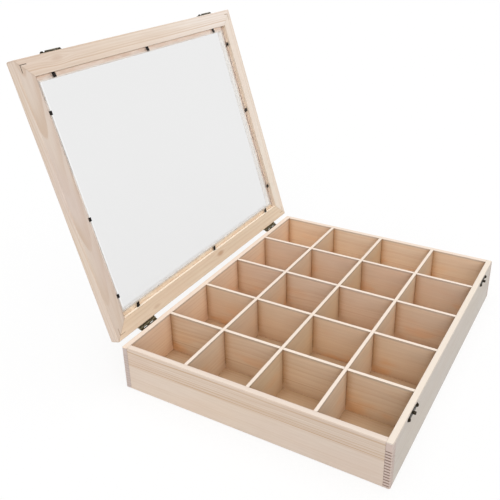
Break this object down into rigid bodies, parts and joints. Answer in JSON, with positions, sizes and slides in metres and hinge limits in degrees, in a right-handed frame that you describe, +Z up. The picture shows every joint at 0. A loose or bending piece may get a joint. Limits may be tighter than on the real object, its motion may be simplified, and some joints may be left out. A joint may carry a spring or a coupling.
{
  "type": "mineral specimen box",
  "caption": "Shallow pine display box divided into square compartments, with a hinged glazed lid standing open and front snap latches.",
  "frame": {"origin": "middle of the box's underside", "axes": "+Z up; -Y is the front with the latches, +Y the back with the hinges; +X is the right-hand end seen from the front"},
  "size_m": [0.4114, 0.4505, 0.3802],
  "materials": {
    "pine": "clear satin lacquer on planed pine",
    "pine_strip": "planed pine strip",
    "plywood": "thin birch plywood",
    "glass": "clear sheet glass",
    "dark_steel": "blued steel",
    "antique_brass": "antiqued brass"
  },
  "bodies": {
    "base": {"front_panel": "pine", "back_panel": "pine", "left_panel": "pine", "right_panel": "pine", "bottom_board": "plywood", "long_divider_1": "pine_strip", "long_divider_2": "pine_strip", "long_divider_3": "pine_strip", "cross_divider_1": "pine_strip", "cross_divider_2": "pine_strip", "cross_divider_3": "pine_strip", "cross_divider_4": "pine_strip", "hinge_leaf_base_left": "antique_brass", "hinge_leaf_base_right": "antique_brass", "hinge_pin_left": "antique_brass", "hinge_pin_right": "antique_brass", "hinge_screws_base": "antique_brass", "latch_keeper_left": "antique_brass", "latch_keeper_right": "antique_brass", "keeper_nails": "antique_brass"},
    "lid": {"lid_front_rail": "pine", "lid_back_rail": "pine", "lid_left_stile": "pine", "lid_right_stile": "pine", "mitre_v_nails": "dark_steel", "glass_pane": "glass", "glazing_tabs": "dark_steel", "hinge_leaf_lid_left": "antique_brass", "hinge_leaf_lid_right": "antique_brass", "hinge_screws_lid": "antique_brass", "latch_plate_left": "antique_brass", "latch_plate_right": "antique_brass", "latch_plate_nails": "antique_brass", "latch_pin_left": "antique_brass", "latch_pin_right": "antique_brass"},
    "latch_left": {"latch_tongue_left": "antique_brass"},
    "latch_right": {"latch_tongue_right": "antique_brass"}
  },
  "joints": [
    {"name": "lid_hinge", "type": "hinge", "parent": "base", "child": "lid", "pos_m": [0, 0.1686, 0.0588], "axis": [1, 0, 0], "range_deg": [0, 106.9]},
    {"name": "latch_left_hinge", "type": "hinge", "parent": "lid", "child": "latch_left", "pos_m": [-0.14905, 0.26883, 0.37941], "axis": [1, 0, 0], "range_deg": [0, 180]},
    {"name": "latch_right_hinge", "type": "hinge", "parent": "lid", "child": "latch_right", "pos_m": [0.14905, 0.26883, 0.37941], "axis": [1, 0, 0], "range_deg": [0, 180]}
  ]
}
